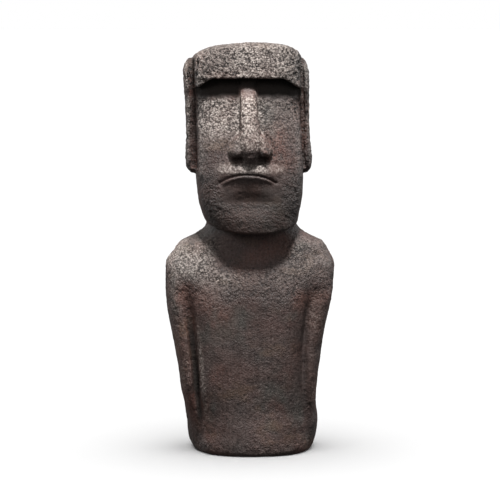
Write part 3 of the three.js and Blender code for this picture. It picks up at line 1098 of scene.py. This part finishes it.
def cast_look():
    """Dark brown cast with rust and grey-green patches, pale dry-brushing and painted highlights on
    its high spots, and near-black painted shade in its pits, pinholes and recesses.
    """
    look = Look("stone_effect_cast")
    # Painted shade: the near-black colour of the pits, pinholes and hollows.
    pit_shadow_colour = (0.016, 0.011, 0.009)
    crumble = look.attribute("crumble")
    drybrush_and_light = look.attribute("drybrush_and_light")
    rust = look.attribute("rust")
    grain = look.noise(470.0, detail=4.0, roughness=0.78)
    crumbs = look.noise(210.0, detail=3.0, roughness=0.65)
    stones = look.cells(330.0)
    patches = look.noise(17.0, detail=4.0)
    tint = look.noise(11.0, detail=3.0)
    strokes = look.noise(420.0, detail=2.0, vector=look.stretched((1.0, 1.0, 0.10)))
    across = look.noise(420.0, detail=2.0, vector=look.stretched((0.12, 0.12, 1.0)))

    base = look.ramp(
        patches,
        (0.32, (0.038, 0.028, 0.026)),
        (0.48, (0.052, 0.032, 0.028)),
        (0.66, (0.076, 0.040, 0.034)),
    )
    rusty = look.times(rust, look.level(tint, 0.30, 0.55), clamp=True)
    base = look.mix(look.times(rusty, 0.8), base, (0.125, 0.042, 0.026))
    moss = look.noise(13.0, detail=3.0, vector=look.stretched((1.0, 1.3, 0.8)))
    mossy = look.level(moss, 0.54, 0.68)
    base = look.mix(look.times(mossy, 0.6), base, (0.048, 0.052, 0.045))
    ochre = look.noise(15.0, detail=3.0, vector=look.stretched((1.0, 1.2, 1.4)))
    ochre = look.level(ochre, 0.56, 0.70)
    base = look.mix(look.times(ochre, 0.42), base, (0.128, 0.074, 0.042))
    streaks = look.level(strokes, 0.42, 0.66)
    base = look.mix(look.times(streaks, 0.22), base, (0.150, 0.110, 0.100))
    # A paler layer where the dry-brushing and painted light go.
    pale_film_and_light = look.times(drybrush_and_light, 0.38)
    base = look.mix(pale_film_and_light, base, (0.200, 0.163, 0.142))

    height = look.plus(look.times(grain, 0.55), look.times(crumbs, 0.25))
    height = look.math("SUBTRACT", height, look.times(stones, 0.30))
    with_relief = look.plus(height, look.times(look.attribute("relief"), 0.06))
    rough_share = look.plus(look.times(crumble, 0.92), 0.08)
    # Painted shade: the low spots of the relief go near black, more where the cast is crumbly.
    hollows = look.math("SUBTRACT", 1.0, look.level(with_relief, 0.15, 0.26))
    pits = look.times(hollows, look.plus(crumble, 0.18), clamp=True)
    colour = look.mix(pits, base, pit_shadow_colour)
    # Pale on the high spots where the dry-brushing and painted light go. The pale is partly paint
    # and partly a painted highlight.
    high = look.level(with_relief, 0.17, 0.37)
    cover = look.times(high, look.math("POWER", drybrush_and_light, 1.5), clamp=True)
    pale = look.ramp(crumbs, (0.36, (0.24, 0.204, 0.180)), (0.60, (0.62, 0.548, 0.495)))
    colour = look.mix(cover, colour, pale)
    specks = look.level(look.noise(800.0, detail=2.0), 0.60, 0.72)
    colour = look.mix(look.times(specks, 0.30), colour, (0.34, 0.295, 0.265))
    # Painted shade of tiny pinholes, as scattered near-black dots.
    pinholes = look.math("SUBTRACT", 1.0, look.level(look.cells(92.0), 0.09, 0.17))
    colour = look.mix(look.times(pinholes, 0.75), colour, pit_shadow_colour)
    # Painted shade, near black where the zones ask for it. The surface is made rough there so it
    # shows no gloss.
    painted_shade_share = look.times(look.attribute("painted_shade"), 0.95)
    colour = look.mix(painted_shade_share, colour, (0.010, 0.007, 0.005))

    roughness = look.math("MAXIMUM", look.spread(crumbs, 0.38, 0.72), painted_shade_share)
    rough_height = look.times(height, rough_share)
    brush_marks = look.plus(strokes, look.times(across, 0.45))
    smooth_bump = look.bump(brush_marks, 0.00028, 1.0)
    return look.finish(colour, roughness, look.bump(rough_height, 0.0065, 1.0, smooth_bump))


def board_look():
    """Exterior board with long grain along X."""
    look = Look("exterior_board")
    along = look.stretched((0.12, 1.0, 1.0))
    grain = look.noise(190.0, detail=5.0, vector=along)
    colour = look.ramp(
        grain,
        (0.30, (0.20, 0.115, 0.055)),
        (0.52, (0.33, 0.21, 0.11)),
        (0.74, (0.46, 0.32, 0.18)),
    )
    fibres = look.noise(900.0, detail=2.0, vector=along)
    roughness = look.spread(grain, 0.65, 0.9)
    return look.finish(colour, roughness, look.bump(fibres, 0.0003, 0.5))


def glass_mat_look():
    """Chopped glass strands wetted with resin."""
    look = Look("wetted_glass_mat")
    strands = look.noise(420.0, detail=4.0, vector=look.stretched((1.0, 1.0, 0.25)))
    crossing = look.noise(420.0, detail=4.0, vector=look.stretched((1.0, 0.25, 1.0)))
    weave = look.math("MAXIMUM", strands, crossing)
    colour = look.ramp(weave, (0.45, (0.42, 0.36, 0.25)), (0.70, (0.70, 0.65, 0.52)))
    roughness = look.spread(weave, 0.35, 0.6)
    return look.finish(colour, roughness, look.bump(weave, 0.0006, 0.6))


def rubber_look():
    """Moulded black rubber with dust in its skin."""
    look = Look("moulded_rubber")
    dust = look.noise(140.0, detail=5.0)
    colour = look.ramp(dust, (0.35, (0.012, 0.012, 0.013)), (0.75, (0.040, 0.038, 0.036)))
    roughness = look.spread(dust, 0.55, 0.85)
    return look.finish(colour, roughness, look.bump(look.noise(1500.0), 0.0001, 0.5))


def zinc_look():
    """Zinc-plated steel with fine scratches."""
    look = Look("zinc_plate")
    spangle = look.noise(700.0, detail=3.0)
    colour = look.ramp(spangle, (0.35, (0.50, 0.50, 0.48)), (0.70, (0.68, 0.68, 0.66)))
    roughness = look.spread(spangle, 0.25, 0.45)
    return look.finish(colour, roughness, look.bump(spangle, 0.00005, 0.4), Metallic=1.0)


# ---------------- turned pieces
def turned(name, profile, middle, segments=48):
    """A closed solid turned about an upright axis, from (radius, height) points in metres."""
    form = bmesh.new()
    rings = []
    for radius, height in profile:
        if radius == 0:
            rings.append([form.verts.new((middle[0], middle[1], height))])
            continue
        turns = (2 * math.pi * i / segments for i in range(segments))
        rings.append([
            form.verts.new((
                middle[0] + radius * math.cos(turn),
                middle[1] + radius * math.sin(turn),
                height,
            ))
            for turn in turns
        ])
    for lower, upper in zip(rings[:-1], rings[1:]):
        for i in range(segments):
            j = (i + 1) % segments
            below = [lower[k % len(lower)] for k in (i, j)]
            above = [upper[k % len(upper)] for k in (j, i)]
            form.faces.new(list(dict.fromkeys(below + above)))
    bmesh.ops.recalc_face_normals(form, faces=form.faces)
    mesh = mesh_from(form, name)
    mesh.shade_smooth()
    mesh.set_sharp_from_angle(angle=math.radians(TURNED_CREASE))
    return place(name, mesh)


def node_frame(node):
    """A node's middle in X and Y, its lowest and highest Z, and its radius."""
    low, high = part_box(node)
    return ((low + high) / 2)[:2], low.z, high.z, (high.x - low.x) / 2


def near(radius, height, *offsets):
    """Points of a profile, each a step in radius and height in millimetres from a corner."""
    return [(radius + out * MM, height + up * MM) for out, up in offsets]


def stand_for(piece, node, body, material):
    """A detailed piece takes the place of a CAD node."""
    cover(piece, material)
    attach(piece, body)
    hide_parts(node)


def make_foot(node, material):
    """A rubber foot with rounded edges and a shallow ring moulded in its tread."""
    middle, low, high, radius = node_frame(node)
    profile = [(radius * share, low + depth * MM) for share, depth in FOOT_TREAD]
    profile += near(radius, low, (-0.8, 0.0), (-0.25, 0.25), (0.0, 0.9))
    profile += near(radius, high, (-0.3, -0.3), (-0.6, 0.0))
    profile.append((0.0, high))
    piece = turned(f"{node}_pad", profile, middle)
    stand_for(piece, node, "figure", material)


def make_plug(node, material):
    """The drain plug, with a pull lip round its flange and two sealing ribs on its neck."""
    middle, low, high, flange = node_frame(node)
    seat = low + PLUG["flange"] * MM
    neck = PLUG["neck_radius"] * MM
    dished = low + PLUG["dish"] * MM
    profile = [(0.0, dished), (flange * 0.62, dished), (flange * 0.72, low)]
    profile += near(flange, low, (-0.7, 0.0), (0.0, 0.7))
    profile += near(flange, seat, (0.0, -0.4), (-0.4, 0.0))
    profile.append((neck, seat))
    for rib in PLUG["ribs"]:
        profile += near(neck, seat, (-0.35, rib - 1.2), (0.0, rib), (-0.35, rib + 1.2))
    profile += near(neck, high, (-0.1, -4.0), (-0.8, -0.3), (-1.4, 0.0))
    profile.append((0.0, high))
    piece = turned("drain_plug_moulding", profile, middle)
    stand_for(piece, node, "plug", material)


cast = cast_look()
for casting in make_castings():
    cover(casting, cast)

rubber = rubber_look()
for end in ("front", "back"):
    for hand in ("left", "right"):
        make_foot(f"{end}_{hand}_foot", rubber)
make_plug("drain_plug", rubber)

SIDES = ("front", "back", "left", "right")
CARRIED_OVER = [
    (board_look(), ["base_plate", *(f"{side}_fixing_block" for side in SIDES)]),
    (zinc_look(), [f"{side}_base_screw" for side in SIDES]),
    (glass_mat_look(), [f"{side}_{part}_tape" for side in SIDES[2:] for part in ("body", "head")]),
]
for material, names in CARRIED_OVER:
    for name in names:
        cover(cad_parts[name], material)


# ---------------- floor, light and camera
def make_floor():
    """A wide pale floor that is seen from above only, and throws no light at the figure."""
    form = bmesh.new()
    bmesh.ops.create_circle(form, cap_ends=True, segments=96, radius=FLOOR_RADIUS)
    floor = place("floor", mesh_from(form, "floor"))
    look = Look("pale_floor")
    tone = look.ramp(look.noise(1.5), (0.3, (0.87, 0.87, 0.87)), (0.7, (0.89, 0.89, 0.89)))
    material = look.finish(tone, 0.9)
    from_below = look.add("ShaderNodeNewGeometry").outputs["Backfacing"]
    one_sided = look.add("ShaderNodeMixShader", {"Fac": from_below})
    look.links.new(look.shader.outputs["BSDF"], one_sided.inputs[1])
    look.links.new(look.add("ShaderNodeBsdfTransparent").outputs["BSDF"], one_sided.inputs[2])
    look.links.new(one_sided.outputs["Shader"], look.nodes["Material Output"].inputs["Surface"])
    cover(floor, material)
    floor.visible_diffuse = False
    floor.visible_glossy = False
    return floor


def lamp(name, kind, energy, **settings):
    """A lamp that is in the scene, with its own settings."""
    data = bpy.data.lights.new(name, kind)
    data.energy = energy
    for setting, value in settings.items():
        setattr(data, setting, value)
    return place(name, data)


def light_only(lamp_object, other, state):
    """Makes a lamp light only one object (INCLUDE), or all but that object (EXCLUDE)."""
    receivers = bpy.data.collections.new(f"{lamp_object.name}_receivers")
    receivers.objects.link(other)
    receivers.collection_objects[0].light_linking.link_state = state
    lamp_object.light_linking.receiver_collection = receivers


def make_lights(floor):
    """A key from above, weaker fills in front, rims from behind, and a sun for the floor alone."""
    aim = Vector(LAMP_TARGET)
    for name, place_at, size, power in LAMPS:
        made = lamp(name, "AREA", power, size=size)
        made.location = place_at
        made.rotation_euler = (aim - made.location).to_track_quat("-Z", "Y").to_euler()
        light_only(made, floor, "EXCLUDE")
    overhead = lamp("overhead", "SUN", FLOOR_LIGHT, angle=math.radians(70))
    light_only(overhead, floor, "INCLUDE")


def make_world(above, below):
    """A white surround that the camera sees, and that lights the figure weakly, more from above."""
    world = bpy.data.worlds.new("studio")
    tree = Tree(world)
    direction = tree.add("ShaderNodeTexCoord").outputs["Generated"]
    upward = tree.add("ShaderNodeSeparateXYZ", {"Vector": direction}).outputs["Z"]
    reach = {"From Min": -0.3, "From Max": 0.7, "To Min": below, "To Max": above}
    glow = tree.add("ShaderNodeMapRange", {"Value": upward, **reach}).outputs["Result"]
    by_camera = tree.add("ShaderNodeLightPath").outputs["Is Camera Ray"]
    strength = tree.add("ShaderNodeMath", {0: glow, 1: by_camera}, operation="MAXIMUM")
    background = tree.nodes["Background"]
    background.inputs["Color"].default_value = (1.0, 1.0, 1.0, 1.0)
    tree.links.new(strength.outputs["Value"], background.inputs["Strength"])
    bpy.context.scene.world = world


def make_camera(distance, height, turn, aim, lens):
    """The camera, turned about the upright axis from straight in front."""
    data = bpy.data.cameras.new("camera")
    data.lens = lens
    camera = place("camera", data)
    angle = math.radians(turn)
    camera.location = (distance * math.sin(angle), -distance * math.cos(angle), height)
    camera.rotation_euler = (Vector(aim) - camera.location).to_track_quat("-Z", "Y").to_euler()
    bpy.context.scene.camera = camera


make_lights(make_floor())
make_world(above=0.12, below=0.06)
make_camera(distance=3.2, height=0.64, turn=-2.5, aim=(0.0, 0.0, 0.291), lens=160.0)

view = bpy.context.scene.view_settings
view.view_transform = "Standard"
view.look = "None"
